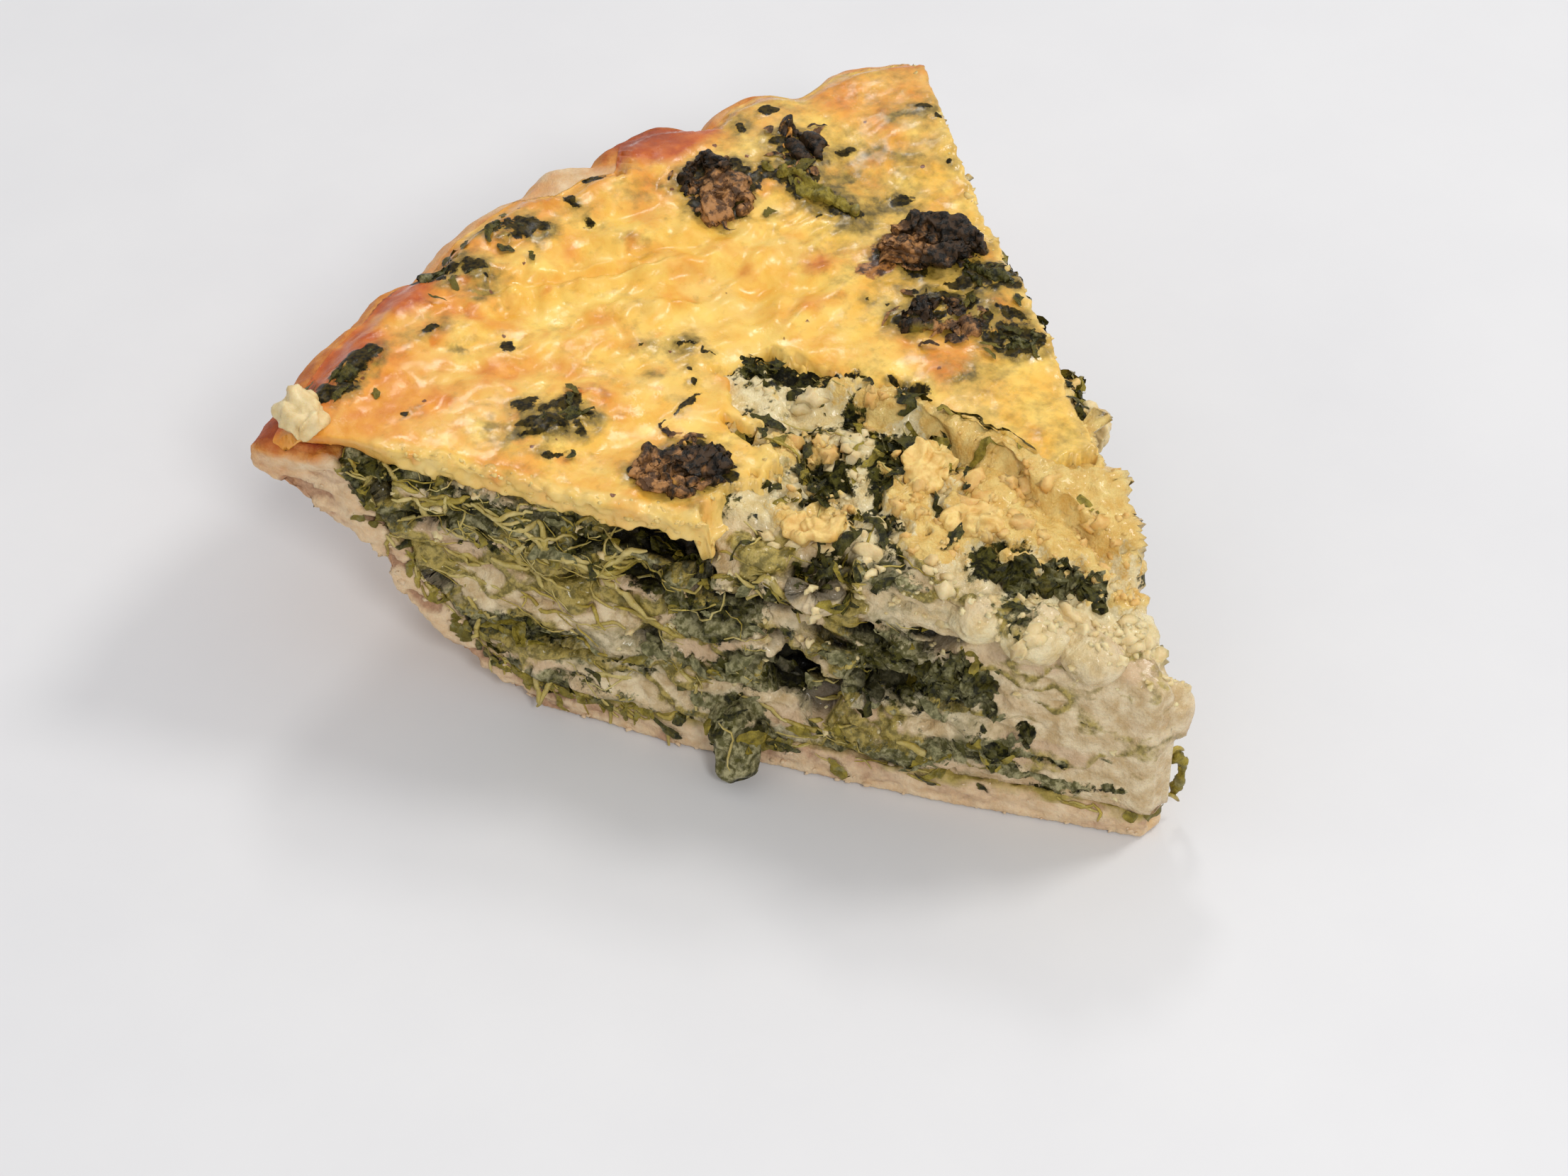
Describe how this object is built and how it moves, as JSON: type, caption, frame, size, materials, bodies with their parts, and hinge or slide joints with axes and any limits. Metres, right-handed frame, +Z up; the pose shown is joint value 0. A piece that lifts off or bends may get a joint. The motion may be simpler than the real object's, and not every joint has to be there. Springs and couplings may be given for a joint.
{
  "type": "slice of spinach quiche",
  "caption": "Wedge of deep-dish spinach quiche: crimped pastry shell, leafy custard filling, torn golden baked top with charred leaves.",
  "frame": {"origin": "middle of the underside, at the centre of the bounding box's bottom face", "axes": "+Z up from the surface it stands on; the tip of the slice points to -Y and the crimped rim to +Y; +X to the right of someone who looks from the tip to the rim"},
  "size_m": [0.1174, 0.1186, 0.0449],
  "materials": {
    "pastry": "dry short pastry, pale cream with a browned, crimped rim",
    "filling": "moist egg custard full of dark green spinach leaves and olive stems",
    "skin": "golden baked custard skin with a soft buttery gloss and brown blisters",
    "charred_leaf": "crisp charred spinach, brown black with dark green remains",
    "green_leaf": "baked spinach leaf and stem, blackish green to olive, moist",
    "curd": "pale yellow cheese curd, soft and moist"
  },
  "bodies": {
    "root": {"pastry_crust": "pastry", "spinach_filling": "filling", "golden_top": "skin", "skin_flake_front": "skin", "skin_flake_middle": "skin", "skin_flake_small": "skin", "charred_clump_back": "charred_leaf", "charred_leaf_upright": "charred_leaf", "charred_clump_right": "charred_leaf", "charred_leaf_right": "charred_leaf", "charred_curl": "charred_leaf", "olive_stem": "green_leaf", "dark_clump_edge": "green_leaf", "dark_leaf_edge": "green_leaf", "dark_leaf_left": "green_leaf", "leaf_streak_rim": "green_leaf", "leaf_rim_left": "green_leaf", "leaf_rim_middle": "green_leaf", "wet_leaf_fold": "green_leaf", "dark_leaf_cut": "green_leaf", "stem_strand_tip": "green_leaf", "curd_lump_left": "curd", "curd_lump_right": "curd"}
  },
  "joints": []
}
